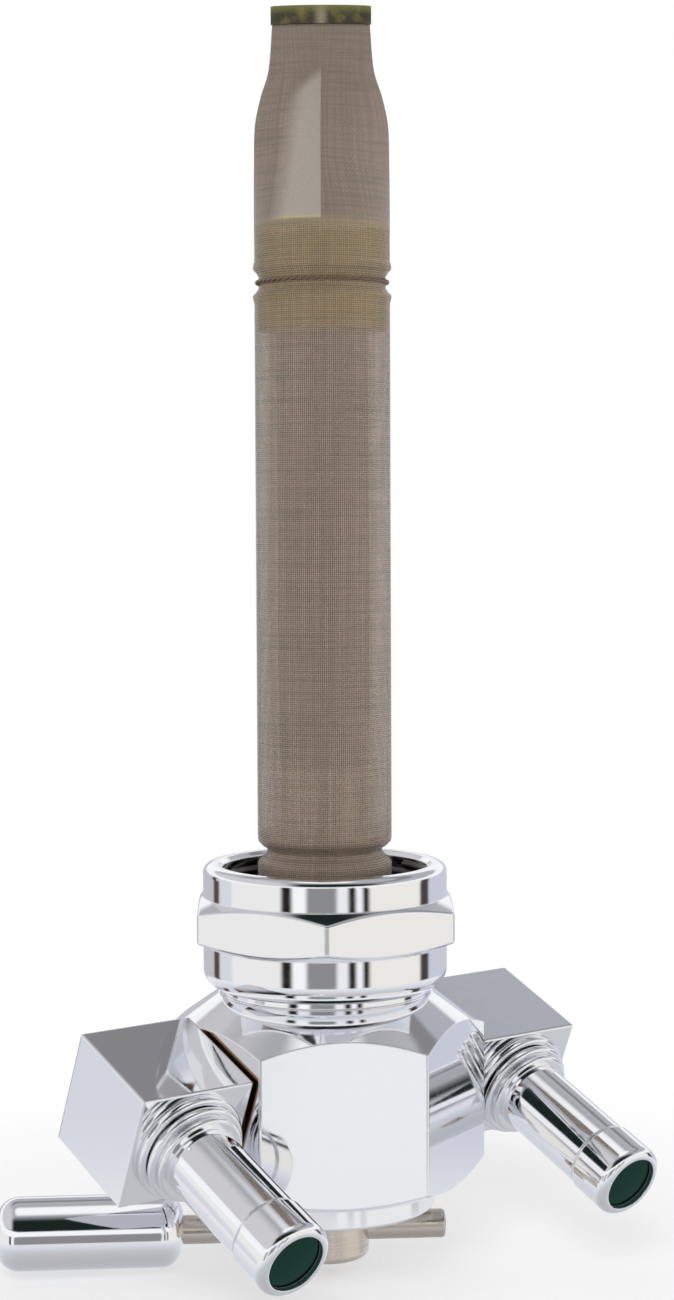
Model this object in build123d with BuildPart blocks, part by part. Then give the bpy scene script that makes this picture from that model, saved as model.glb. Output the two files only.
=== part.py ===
import os
from math import copysign, cos, radians, sin, tan

from build123d import *

os.makedirs("parts", exist_ok=True)

# Fuel tap in millimetres: Z points up along the filter, the outlets lie along X and their
# spigots point down and towards -Y. The origin is the centre of the union nut's mouth.

# Fits between pieces
thread_play = 0.06
shaft_play = 0.05
valve_play = 0.08
seat_play = 0.02
washer_play = 0.1
liner_play = 0.05

# Union nut: two round collars with a hexagon belt between them, threaded 22 mm from both ends
tank_thread_radius = 11.0
thread_relief_depth = 0.35
thread_relief_height = 1.6
nut_height = 13.2
nut_collar_radius = 13.1
nut_across_flats = 27.0
nut_lower_collar_height = 4.8
nut_belt_height = 5.0
nut_belt_slope = 21.0
nut_belt_turn = 53.5
nut_belt_corner_round = 0.6
nut_belt_edge_round = 0.3
nut_top_round = 0.9
nut_bottom_round = 2.0
nut_mouth_chamfer = 0.4

# Hexagon body, coned above and below, with a threaded neck inside the nut
nut_gap = 0.6
neck_height = 7.2
body_flat_beyond_nut = 1.6
body_corner_round = 0.3
shoulder_radius = 11.5
shoulder_slope = 35.0
outlet_drop = 9.8
body_depth = 10.65
foot_radius = 13.9
foot_slope = 25.0

# Valve chamber inside the body
chamber_radius = 8.5
chamber_rise = 4.5
port_radius = 2.8
inlet_radius = 1.3
inlet_offset = 2.9

# Bottom cap, closing the chamber round the stem
cap_radius = 11.8
cap_thickness = 2.65
cap_edge_round = 0.3
cap_seal_height = 1.4

# Rotor and stem
port_seal_thickness = 1.5
barrel_height = 8.8
barrel_groove_height = 4.4
barrel_groove_depth = 1.9
o_ring_section = 1.2
stem_radius = 4.6
stem_below_cap = 5.9
stem_end_round = 0.8
thrust_washer_thickness = 0.4
thrust_washer_radius = 6.0
thrust_gap = 0.6
detent_ball_radius = 0.9
detent_offset = 7.2
detent_depth = 3.0
detent_dimple = 0.4
spring_wire_radius = 0.15
spring_turns = 4

# Lever: rod through the stem with a long rounded knob
lever_angle = 147.0
lever_swing_angle = 120.0
rod_radius = 1.55
rod_below_cap = 2.85
rod_short_arm = 12.9
rod_end_round = 0.4
rod_socket_depth = 15.0
knob_radius = 3.95
knob_length = 20.1
knob_reach = 15.5
knob_end_round = 2.5
set_screw_radius = 1.45
set_screw_length = 1.4
set_screw_socket = 1.3

# Outlets: square blocks on hollow threaded stubs, with stepped hose spigots
washer_thickness = 0.35
washer_radius = 5.9
stub_radius = 4.4
stub_depth_in_body = 4.5
stub_depth_in_block = 4.5
block_width = 13.3
block_side = 12.7
block_edge_round = 0.2
outlet_tilt = 22.5
spigot_shank_radius = 4.2
spigot_shank_depth = 1.6
ring_radii = (6.0, 5.5, 4.9)
ring_heights = (1.0, 0.85, 0.7)
ring_groove_width = 0.2
ring_core_radius = 4.55
ring_edge_round = 0.33
spigot_length = 20.0
spigot_radius = 3.9
spigot_bore_radius = 3.1
land_length = 4.8
land_radius = 4.1
land_end_round = 0.9
land_groove_width = 0.35
land_groove_depth = 0.2

# Filter screen: a sock of woven mesh over two brass bushings, folded flat and sealed on top
gasket_thickness = 1.2
gasket_radius = 10.6
gasket_overlap = 0.3
screen_radius = 7.2
screen_wall = 0.35
screen_neck_radius = 5.95
screen_neck_height = 1.5
screen_flare_height = 1.3
screen_lip_height = 1.1
screen_lip_round = 0.8
screen_height = 88.9
fold_turn = 142.0
fold_points = 24
fold_half_width = 5.15
fold_half_thickness = 0.8
fold_stations = (
    (0.12, 0, 0.03, 1.7),
    (0.3, 0.02, 0.12, 1.3),
    (0.5, 0.08, 0.35, 1.25),
    (0.64, 0.38, 0.6, 1.3),
    (0.77, 0.79, 0.85, 1.5),
    (1, 1, 1, 2),
)
end_seal_height = 1.9
end_seal_wall = 0.15
tie_above_bushing_bottom = 5.1
tie_depth = 0.45
tie_width = 1.4
tie_wire_radius = 0.3
top_bushing_bottom = 56.8
top_bushing_height = 11.1
top_bushing_floor = 2.5
bushing_wall = 0.9
base_lip_above_neck = 1.9
shank_radius = 6.0
shank_length = 6.4

# Standpipe on the base bushing's nipple, with the reserve port through the nipple's side
standpipe_radius = 4.9
standpipe_wall = 0.9
standpipe_above_floor = 1.6
nipple_top = 10.6
nipple_wall = 1.9
nipple_tenon_height = 3.0
reserve_port_radius = 0.9
reserve_port_rise = 0.5
well_floor_thickness = 1.2

# Levels along Z
nut_bottom_z = -nut_height
shoulder_z = nut_bottom_z - nut_gap
neck_top_z = shoulder_z + neck_height
outlet_z = shoulder_z - outlet_drop
body_bottom_z = outlet_z - body_depth
chamber_top_z = outlet_z + chamber_rise
cap_bottom_z = body_bottom_z - cap_thickness
barrel_top_z = chamber_top_z - port_seal_thickness - shaft_play
barrel_bottom_z = barrel_top_z - barrel_height
cap_top_z = barrel_bottom_z - thrust_gap
stem_bottom_z = cap_bottom_z - stem_below_cap
rod_z = cap_bottom_z - rod_below_cap
shank_bottom_z = neck_top_z - shank_length
base_lip_top = screen_neck_height + base_lip_above_neck
reserve_port_z = base_lip_top + reserve_port_rise + reserve_port_radius
reserve_top_z = reserve_port_z + reserve_port_radius
well_floor_z = reserve_top_z + well_floor_thickness
standpipe_top_z = top_bushing_bottom + top_bushing_floor + standpipe_above_floor
tie_height = top_bushing_bottom + tie_above_bushing_bottom

# Radii and places that follow from the sizes above
neck_radius = tank_thread_radius - thread_play
barrel_radius = chamber_radius - valve_play
cap_bore_radius = stem_radius + shaft_play
o_ring_radius = o_ring_section / 2
body_flat_x = nut_across_flats / 2 + body_flat_beyond_nut
block_inner_x = body_flat_x + washer_thickness
block_centre_x = block_inner_x + block_width / 2
cone_reach = body_flat_x / cos(radians(30)) + nut_gap
main_angle = lever_angle
reserve_angle = lever_angle - lever_swing_angle
spigot_direction = Vector(0, -cos(radians(outlet_tilt)), -sin(radians(outlet_tilt)))
lever_direction = Vector(cos(radians(lever_angle)), sin(radians(lever_angle)), 0)


def polar(radius, angle):
    """A point in the plan view at a radius and an angle in degrees."""
    return (radius * cos(radians(angle)), radius * sin(radians(angle)))


def save(builder, label):
    """Label a finished piece and write it as a STEP file of the same name."""
    builder.part.label = label
    export_step(builder.part, f"parts/{label}.step")


# Valve body
with BuildPart() as valve_body:
    with BuildSketch(Plane.XY.offset(body_bottom_z)) as hexagon:
        RegularPolygon(body_flat_x, 6, major_radius=False, rotation=30)
        fillet(hexagon.vertices(), body_corner_round)
    extrude(amount=shoulder_z - body_bottom_z)
    with BuildSketch(Plane.XZ):
        with BuildLine():
            Polyline(
                (0, body_bottom_z),
                (foot_radius, body_bottom_z),
                (cone_reach, body_bottom_z + (cone_reach - foot_radius) * tan(radians(foot_slope))),
                (cone_reach, shoulder_z - (cone_reach - shoulder_radius) * tan(radians(shoulder_slope))),
                (shoulder_radius, shoulder_z),
                (0, shoulder_z),
                close=True,
            )
        make_face()
    revolve(axis=Axis.Z, mode=Mode.INTERSECT)
    # Threaded neck with the seat for the filter's base bushing
    with BuildSketch(Plane.XY.offset(shoulder_z)):
        Circle(neck_radius)
    extrude(amount=neck_height)
    with BuildSketch(Plane.XY.offset(shank_bottom_z)):
        Circle(shank_radius + seat_play)
    extrude(amount=shank_length, mode=Mode.SUBTRACT)
    # Chamber for the rotor, open below, with its two inlets
    with BuildSketch(Plane.XY.offset(body_bottom_z)):
        Circle(chamber_radius)
    extrude(amount=chamber_top_z - body_bottom_z, mode=Mode.SUBTRACT)
    with BuildSketch(Plane.XY.offset(chamber_top_z)):
        with Locations(polar(inlet_offset, main_angle), polar(inlet_offset, reserve_angle)):
            Circle(inlet_radius)
    extrude(amount=shank_bottom_z - chamber_top_z, mode=Mode.SUBTRACT)
    # Outlet ports through both side flats, opened out for the threaded stubs
    with BuildSketch(Plane.YZ):
        with Locations((0, outlet_z)):
            Circle(port_radius)
    extrude(amount=body_flat_x, both=True, mode=Mode.SUBTRACT)
    for side in (-1, 1):
        with BuildSketch(Plane.YZ.offset(side * body_flat_x)):
            with Locations((0, outlet_z)):
                Circle(stub_radius + seat_play)
        extrude(amount=-side * stub_depth_in_body, mode=Mode.SUBTRACT)
save(valve_body, "valve_body")

# Union nut
belt_bottom_z = nut_bottom_z + nut_lower_collar_height
belt_top_z = belt_bottom_z + nut_belt_height
belt_reach = nut_across_flats / 2 / cos(radians(30)) + nut_gap
belt_fall = (belt_reach - nut_collar_radius) * tan(radians(nut_belt_slope))
with BuildPart() as union_nut:
    with BuildSketch(Plane.XY.offset(belt_bottom_z)) as belt_sketch:
        RegularPolygon(nut_across_flats / 2, 6, major_radius=False, rotation=nut_belt_turn)
        fillet(belt_sketch.vertices(), nut_belt_corner_round)
    extrude(amount=nut_belt_height)
    with BuildSketch(Plane.XZ):
        with BuildLine():
            Polyline(
                (0, belt_bottom_z),
                (nut_collar_radius, belt_bottom_z),
                (belt_reach, belt_bottom_z + belt_fall),
                (belt_reach, belt_top_z - belt_fall),
                (nut_collar_radius, belt_top_z),
                (0, belt_top_z),
                close=True,
            )
        make_face()
    revolve(axis=Axis.Z, mode=Mode.INTERSECT)
    flats = union_nut.faces().filter_by(GeomType.PLANE).filter_by(Axis.Z, reverse=True)
    fillet(flats.edges().filter_by(GeomType.LINE, reverse=True), nut_belt_edge_round)
    with BuildSketch(Plane.XY):
        Circle(nut_collar_radius)
    extrude(amount=-nut_height)
    fillet(union_nut.faces().sort_by(Axis.Z)[-1].edges(), nut_top_round)
    fillet(union_nut.faces().sort_by(Axis.Z)[0].edges(), nut_bottom_round)
    with BuildSketch(Plane.XY):
        Circle(tank_thread_radius)
    extrude(amount=-nut_height, mode=Mode.SUBTRACT)
    mouth_edges = union_nut.edges().filter_by(GeomType.CIRCLE).group_by(Axis.Z)[-1]
    chamfer(mouth_edges.sort_by(SortBy.RADIUS)[0], nut_mouth_chamfer)
    with BuildSketch(Plane.XY.offset(neck_top_z)):
        Circle(tank_thread_radius + thread_relief_depth)
    extrude(amount=thread_relief_height, mode=Mode.SUBTRACT)
save(union_nut, "union_nut")

# Seal between the neck and the tank
with BuildPart() as tank_gasket:
    with BuildSketch(Plane.XY.offset(neck_top_z)):
        Circle(gasket_radius)
        Circle(screen_radius + gasket_overlap, mode=Mode.SUBTRACT)
    extrude(amount=gasket_thickness)
save(tank_gasket, "tank_gasket")


# Filter screen
def screen_outline(inset):
    """Radius and height of the screen from its hem to the top bushing, drawn in by inset."""
    top_bushing_top = top_bushing_bottom + top_bushing_height
    return [
        (screen_radius - inset, neck_top_z),
        (screen_radius - inset, screen_neck_height - screen_flare_height),
        (screen_neck_radius - inset, screen_neck_height),
        (screen_radius - inset, screen_neck_height + screen_lip_height),
        (screen_radius - inset, tie_height - tie_width),
        (screen_radius - tie_depth - inset, tie_height - tie_width / 2),
        (screen_radius - tie_depth - inset, tie_height + tie_width / 2),
        (screen_radius - inset, tie_height + tie_width),
        (screen_radius - inset, top_bushing_top),
    ]


def fold_outline(half_width, half_depth, power):
    """Points of a closed outline with a crest on each axis, sharper for a lower power than 2."""
    points = []
    for step in range(fold_points):
        turn = radians(360 * step / fold_points)
        across = copysign(abs(cos(turn)) ** (2 / power), cos(turn))
        along = copysign(abs(sin(turn)) ** (2 / power), sin(turn))
        points.append((half_width * across, half_depth * along))
    return points


# The screen is folded from round to a flat sealed end, with a crest in front and behind: at each
# share of the rise, the share of the way that its width and its depth have gone, and the power
fold_bottom = top_bushing_bottom + top_bushing_height
fold_rise = screen_height - fold_bottom
fold_sections = [
    (
        rise * fold_rise,
        screen_radius + width_share * (fold_half_width - screen_radius),
        screen_radius + depth_share * (fold_half_thickness - screen_radius),
        power,
    )
    for rise, width_share, depth_share, power in fold_stations
]
fold_plane = Plane(origin=(0, 0, fold_bottom), x_dir=(*polar(1, fold_turn), 0))
with BuildPart() as filter_screen:
    with BuildSketch(fold_plane):
        Circle(screen_radius)
    for height, half_width, half_depth, power in fold_sections:
        with BuildSketch(fold_plane.offset(height)):
            with BuildLine():
                Spline(*fold_outline(half_width, half_depth, power), periodic=True)
            make_face()
    loft()
    # Inside, the cloth lies double in the folds
    with BuildSketch(fold_plane):
        Circle(screen_radius - screen_wall)
    for height, half_width, half_depth, power in fold_sections[:-2]:
        inner_width = half_width - 2 * screen_wall
        inner_depth = half_depth - 2 * screen_wall
        with BuildSketch(fold_plane.offset(height)):
            with BuildLine():
                Spline(*fold_outline(inner_width, inner_depth, power), periodic=True)
            make_face()
    loft(mode=Mode.SUBTRACT)
    with BuildSketch(Plane.XZ) as wall_sketch:
        with BuildLine():
            Polyline(*screen_outline(0), *reversed(screen_outline(screen_wall)), close=True)
        make_face()
        lip_z = screen_neck_height + screen_lip_height
        fillet(wall_sketch.vertices().filter_by_position(Axis.Y, lip_z, lip_z), screen_lip_round)
    revolve(axis=Axis.Z)
save(filter_screen, "filter_screen")

with BuildPart() as screen_end_seal:
    with BuildSketch(fold_plane.offset(fold_rise)):
        with BuildLine():
            seal_half_width = fold_half_width + end_seal_wall
            seal_half_depth = fold_half_thickness + end_seal_wall
            Spline(*fold_outline(seal_half_width, seal_half_depth, 2), periodic=True)
        make_face()
    extrude(amount=end_seal_height)
save(screen_end_seal, "screen_end_seal")

tie_centre_radius = screen_radius - tie_depth + tie_wire_radius
with BuildPart() as screen_tie_wire:
    with BuildSketch(Plane.XZ):
        with Locations((tie_centre_radius, tie_height)):
            Circle(tie_wire_radius)
    revolve(axis=Axis.Z)
save(screen_tie_wire, "screen_tie_wire")

# Brass pieces inside the screen
liner_radius = screen_radius - screen_wall - liner_play
with BuildPart() as top_bushing:
    with BuildSketch(Plane.XY.offset(top_bushing_bottom)):
        Circle(liner_radius)
    extrude(amount=top_bushing_height)
    with BuildSketch(Plane.XY.offset(top_bushing_bottom + top_bushing_floor)):
        Circle(liner_radius - bushing_wall)
    extrude(amount=top_bushing_height, mode=Mode.SUBTRACT)
    with BuildSketch(Plane.XY.offset(top_bushing_bottom)):
        Circle(standpipe_radius + seat_play)
    extrude(amount=top_bushing_floor, mode=Mode.SUBTRACT)
    # Groove that the tie wire draws the screen into
    with BuildSketch(Plane.XZ):
        with BuildLine():
            Polyline(
                (liner_radius, tie_height - tie_width),
                (liner_radius - tie_depth, tie_height - tie_width / 2),
                (liner_radius - tie_depth, tie_height + tie_width / 2),
                (liner_radius, tie_height + tie_width),
                (screen_radius, tie_height + tie_width),
                (screen_radius, tie_height - tie_width),
                close=True,
            )
        make_face()
    revolve(axis=Axis.Z, mode=Mode.SUBTRACT)
save(top_bushing, "top_bushing")

liner_inset = screen_wall + liner_play
tenon_radius = standpipe_radius - standpipe_wall - seat_play
tenon_top_z = nipple_top + nipple_tenon_height
with BuildPart() as base_bushing:
    with BuildSketch(Plane.XZ) as lip_sketch:
        with BuildLine():
            Polyline(
                (0, neck_top_z),
                (liner_radius, neck_top_z),
                (liner_radius, screen_neck_height - screen_flare_height),
                (screen_neck_radius - liner_inset, screen_neck_height),
                (liner_radius, screen_neck_height + screen_lip_height),
                (liner_radius, base_lip_top),
                (standpipe_radius, base_lip_top),
                (standpipe_radius, nipple_top),
                (tenon_radius, nipple_top),
                (tenon_radius, tenon_top_z),
                (0, tenon_top_z),
                close=True,
            )
        make_face()
        lip_z = screen_neck_height + screen_lip_height
        fillet(lip_sketch.vertices().filter_by_position(Axis.Y, lip_z, lip_z), screen_lip_round)
    revolve(axis=Axis.Z)
    with BuildSketch(Plane.XY.offset(shank_bottom_z)):
        Circle(shank_radius)
    extrude(amount=shank_length)
    # Main passage: a well under the standpipe, with a drilling down to the valve
    with BuildSketch(Plane.XY.offset(well_floor_z)):
        Circle(standpipe_radius - nipple_wall)
    extrude(amount=tenon_top_z - well_floor_z, mode=Mode.SUBTRACT)
    with BuildSketch(Plane.XY.offset(shank_bottom_z)):
        with Locations(polar(inlet_offset, main_angle)):
            Circle(inlet_radius)
    extrude(amount=well_floor_z - shank_bottom_z, mode=Mode.SUBTRACT)
    # Reserve passage: a drilling under the well that meets a port in the nipple's side
    with BuildSketch(Plane.XY.offset(shank_bottom_z)):
        with Locations(polar(inlet_offset, reserve_angle)):
            Circle(inlet_radius)
    extrude(amount=reserve_top_z - shank_bottom_z, mode=Mode.SUBTRACT)
    reserve_centre = (*polar(inlet_offset, reserve_angle), reserve_port_z)
    with BuildSketch(Plane(origin=reserve_centre, z_dir=(*polar(1, reserve_angle), 0))):
        Circle(reserve_port_radius)
    extrude(amount=liner_radius - inlet_offset, mode=Mode.SUBTRACT)
save(base_bushing, "base_bushing")

with BuildPart() as main_standpipe:
    with BuildSketch(Plane.XY.offset(nipple_top)):
        Circle(standpipe_radius)
        Circle(standpipe_radius - standpipe_wall, mode=Mode.SUBTRACT)
    extrude(amount=standpipe_top_z - nipple_top)
save(main_standpipe, "main_standpipe")

# Rotor with its stem
stem_groove_inner = barrel_radius - barrel_groove_depth
o_ring_centre_radius = barrel_radius - o_ring_radius
seal_z = (barrel_bottom_z + outlet_z - barrel_groove_height / 2) / 2
with BuildPart() as valve_rotor:
    with BuildSketch(Plane.XY.offset(barrel_bottom_z)):
        Circle(barrel_radius)
    extrude(amount=barrel_height)
    with BuildSketch(Plane.XY.offset(barrel_bottom_z)):
        Circle(stem_radius)
    extrude(amount=stem_bottom_z - barrel_bottom_z)
    fillet(valve_rotor.edges().sort_by(Axis.Z)[0], stem_end_round)
    # Ring channel that stays open to both outlets, and the seal groove under it
    with BuildSketch(Plane.XY.offset(outlet_z - barrel_groove_height / 2)):
        Circle(chamber_radius)
        Circle(stem_groove_inner, mode=Mode.SUBTRACT)
    extrude(amount=barrel_groove_height, mode=Mode.SUBTRACT)
    with BuildSketch(Plane.XY.offset(seal_z - o_ring_radius - seat_play)):
        Circle(chamber_radius)
        Circle(barrel_radius - o_ring_section - seat_play, mode=Mode.SUBTRACT)
    extrude(amount=o_ring_section + 2 * seat_play, mode=Mode.SUBTRACT)
    # Feed hole under the open inlet, and the cross passages to the ring channel
    with BuildSketch(Plane.XY.offset(barrel_top_z)):
        with Locations(polar(inlet_offset, main_angle)):
            Circle(inlet_radius)
    extrude(amount=outlet_z - barrel_top_z, mode=Mode.SUBTRACT)
    for turn in (0, 90):
        with BuildSketch(Plane(origin=(0, 0, outlet_z), z_dir=(*polar(1, lever_angle + turn), 0))):
            Circle(inlet_radius)
        extrude(amount=chamber_radius, both=True, mode=Mode.SUBTRACT)
    # Detent dimples at the three positions of the lever
    for turn in (0, -lever_swing_angle / 2, -lever_swing_angle):
        with BuildSketch(Plane.XY.offset(barrel_bottom_z)):
            with Locations(polar(detent_offset, lever_angle + turn)):
                Circle(detent_ball_radius)
        extrude(amount=detent_dimple, mode=Mode.SUBTRACT)
    # Cross hole for the lever rod and the set screw hole that meets it from below
    with BuildSketch(Plane(origin=(0, 0, rod_z), z_dir=lever_direction)):
        Circle(rod_radius + seat_play)
    extrude(amount=stem_radius, both=True, mode=Mode.SUBTRACT)
    with BuildSketch(Plane.XY.offset(stem_bottom_z)):
        Circle(set_screw_radius + seat_play)
    extrude(amount=rod_z - stem_bottom_z, mode=Mode.SUBTRACT)
save(valve_rotor, "valve_rotor")

with BuildPart() as rotor_o_ring:
    with BuildSketch(Plane.XZ):
        with Locations((o_ring_centre_radius, seal_z)):
            Circle(o_ring_radius)
    revolve(axis=Axis.Z)
save(rotor_o_ring, "rotor_o_ring")

with BuildPart() as port_seal:
    with BuildSketch(Plane.XY.offset(chamber_top_z)):
        Circle(chamber_radius - washer_play)
        with Locations(polar(inlet_offset, main_angle), polar(inlet_offset, reserve_angle)):
            Circle(inlet_radius, mode=Mode.SUBTRACT)
    extrude(amount=-port_seal_thickness)
save(port_seal, "port_seal")

# Bottom cap
cap_seal_z = body_bottom_z + cap_seal_height / 2
with BuildPart() as bottom_cap:
    with BuildSketch(Plane.XY.offset(cap_bottom_z)):
        Circle(cap_radius)
    extrude(amount=cap_thickness)
    fillet(bottom_cap.edges(), cap_edge_round)
    with BuildSketch(Plane.XY.offset(body_bottom_z)):
        Circle(chamber_radius - seat_play)
    extrude(amount=cap_top_z - body_bottom_z)
    with BuildSketch(Plane.XY.offset(cap_bottom_z)):
        Circle(cap_bore_radius)
    extrude(amount=cap_top_z - cap_bottom_z, mode=Mode.SUBTRACT)
    with BuildSketch(Plane.XY.offset(cap_seal_z - o_ring_radius - seat_play)):
        Circle(cap_bore_radius + o_ring_section)
    extrude(amount=o_ring_section + 2 * seat_play, mode=Mode.SUBTRACT)
    with BuildSketch(Plane.XY.offset(cap_top_z)):
        with Locations(polar(detent_offset, lever_angle)):
            Circle(detent_ball_radius + seat_play)
    extrude(amount=-detent_depth, mode=Mode.SUBTRACT)
save(bottom_cap, "bottom_cap")

with BuildPart() as stem_o_ring:
    with BuildSketch(Plane.XZ):
        with Locations((cap_bore_radius + o_ring_radius, cap_seal_z)):
            Circle(o_ring_radius - seat_play)
    revolve(axis=Axis.Z)
save(stem_o_ring, "stem_o_ring")

with BuildPart() as thrust_washer:
    with BuildSketch(Plane.XY.offset(cap_top_z)):
        Circle(thrust_washer_radius)
        Circle(cap_bore_radius, mode=Mode.SUBTRACT)
    extrude(amount=thrust_washer_thickness)
save(thrust_washer, "thrust_washer")

ball_centre_z = barrel_bottom_z - shaft_play - detent_ball_radius
with BuildPart() as detent_ball:
    with Locations((*polar(detent_offset, lever_angle), ball_centre_z)):
        Sphere(detent_ball_radius)
save(detent_ball, "detent_ball")

spring_bottom_z = cap_top_z - detent_depth + spring_wire_radius
spring_length = ball_centre_z - detent_ball_radius - spring_wire_radius - spring_bottom_z
with BuildPart() as detent_spring:
    with BuildLine() as coil:
        Helix(
            pitch=spring_length / spring_turns,
            height=spring_length,
            radius=detent_ball_radius - 2 * spring_wire_radius,
            center=(*polar(detent_offset, lever_angle), spring_bottom_z),
        )
    with BuildSketch(Plane(origin=coil.line @ 0, z_dir=coil.line % 0)):
        Circle(spring_wire_radius)
    sweep()
save(detent_spring, "detent_spring")

# Lever
rod_centre = Vector(0, 0, rod_z)
rod_start = Plane(origin=rod_centre - lever_direction * rod_short_arm, z_dir=lever_direction)
with BuildPart() as lever_rod:
    with BuildSketch(rod_start):
        Circle(rod_radius)
    extrude(amount=rod_short_arm + knob_reach + rod_socket_depth)
    fillet(lever_rod.edges().filter_by(GeomType.CIRCLE), rod_end_round)
save(lever_rod, "lever_rod")

knob_start = Plane(origin=rod_centre + lever_direction * knob_reach, z_dir=lever_direction)
with BuildPart() as lever_knob:
    with BuildSketch(knob_start):
        Circle(knob_radius)
    extrude(amount=knob_length)
    fillet(lever_knob.edges().filter_by(GeomType.CIRCLE), knob_end_round)
    with BuildSketch(knob_start):
        Circle(rod_radius + seat_play)
    extrude(amount=rod_socket_depth + seat_play, mode=Mode.SUBTRACT)
save(lever_knob, "lever_knob")

with BuildPart() as lever_set_screw:
    with BuildSketch(Plane.XY.offset(rod_z - rod_radius)):
        Circle(set_screw_radius)
    extrude(amount=-set_screw_length)
    with BuildSketch(Plane.XY.offset(rod_z - rod_radius - set_screw_length)):
        RegularPolygon(set_screw_socket / 2, 6, major_radius=False)
    extrude(amount=set_screw_length / 2, mode=Mode.SUBTRACT)
save(lever_set_screw, "lever_set_screw")

# Outlets, the same pieces mirrored left and right
for side, sign in (("left", -1), ("right", 1)):
    outlet_centre = Vector(sign * block_centre_x, 0, outlet_z)
    spigot_seat = outlet_centre + spigot_direction * (block_side / 2)
    block_plane = Plane(origin=outlet_centre, x_dir=(1, 0, 0), z_dir=spigot_direction)
    seat_plane = Plane(origin=spigot_seat, x_dir=(1, 0, 0), z_dir=spigot_direction)

    with BuildPart() as outlet_block:
        with BuildSketch(block_plane):
            Rectangle(block_width, block_side)
        extrude(amount=block_side / 2, both=True)
        fillet(outlet_block.edges(), block_edge_round)
        # Stub socket from the inner face, spigot socket from the sloping front, and the passage
        with BuildSketch(Plane.YZ.offset(sign * block_inner_x)):
            with Locations((0, outlet_z)):
                Circle(stub_radius + seat_play)
        extrude(amount=sign * stub_depth_in_block, mode=Mode.SUBTRACT)
        with BuildSketch(Plane.YZ.offset(sign * block_inner_x)):
            with Locations((0, outlet_z)):
                Circle(port_radius)
        extrude(amount=sign * block_width / 2, mode=Mode.SUBTRACT)
        with BuildSketch(seat_plane):
            Circle(spigot_shank_radius + seat_play)
        extrude(amount=-spigot_shank_depth, mode=Mode.SUBTRACT)
        with BuildSketch(seat_plane):
            Circle(spigot_bore_radius)
        extrude(amount=-block_side / 2 - spigot_bore_radius, mode=Mode.SUBTRACT)
    save(outlet_block, f"{side}_outlet_block")

    with BuildPart() as outlet_washer:
        with BuildSketch(Plane.YZ.offset(sign * body_flat_x)):
            with Locations((0, outlet_z)):
                Circle(washer_radius)
                Circle(stub_radius + washer_play, mode=Mode.SUBTRACT)
        extrude(amount=sign * washer_thickness)
    save(outlet_washer, f"{side}_outlet_washer")

    with BuildPart() as outlet_stub:
        with BuildSketch(Plane.YZ.offset(sign * (body_flat_x - stub_depth_in_body))):
            with Locations((0, outlet_z)):
                Circle(stub_radius)
                Circle(port_radius, mode=Mode.SUBTRACT)
        extrude(amount=sign * (stub_depth_in_body + washer_thickness + stub_depth_in_block))
    save(outlet_stub, f"{side}_outlet_stub")

    with BuildPart() as hose_spigot:
        with BuildSketch(seat_plane):
            Circle(ring_core_radius)
        extrude(amount=sum(ring_heights) + ring_groove_width * (len(ring_heights) - 1))
        ring_start = 0
        for ring_radius, ring_height in zip(ring_radii, ring_heights):
            with BuildSketch(seat_plane.offset(ring_start)):
                Circle(ring_radius)
            extrude(amount=ring_height)
            ring_start += ring_height + ring_groove_width
        ring_edges = hose_spigot.edges().filter_by(GeomType.CIRCLE)
        rim_limit = (ring_core_radius + min(ring_radii)) / 2
        fillet(ring_edges.filter_by(lambda edge: edge.radius > rim_limit), ring_edge_round)
        with BuildSketch(seat_plane):
            Circle(spigot_radius)
        extrude(amount=spigot_length - land_length)
        with BuildSketch(seat_plane.offset(spigot_length - land_length)):
            Circle(land_radius)
        extrude(amount=land_length)
        with BuildSketch(seat_plane.offset(spigot_length - land_length)):
            Circle(land_radius)
            Circle(spigot_radius - land_groove_depth, mode=Mode.SUBTRACT)
        extrude(amount=-land_groove_width, mode=Mode.SUBTRACT)
        tip_edges = hose_spigot.faces().sort_by(Axis(spigot_seat, spigot_direction))[-1].edges()
        fillet(tip_edges, land_end_round)
        with BuildSketch(seat_plane):
            Circle(spigot_shank_radius)
        extrude(amount=-spigot_shank_depth)
        with BuildSketch(seat_plane.offset(-spigot_shank_depth)):
            Circle(spigot_bore_radius)
        extrude(amount=spigot_shank_depth + spigot_length, mode=Mode.SUBTRACT)
    save(hose_spigot, f"{side}_hose_spigot")
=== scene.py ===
from math import copysign, cos, pi, radians, sin

import bmesh
import bpy
from mathutils import Matrix, Vector


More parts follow.
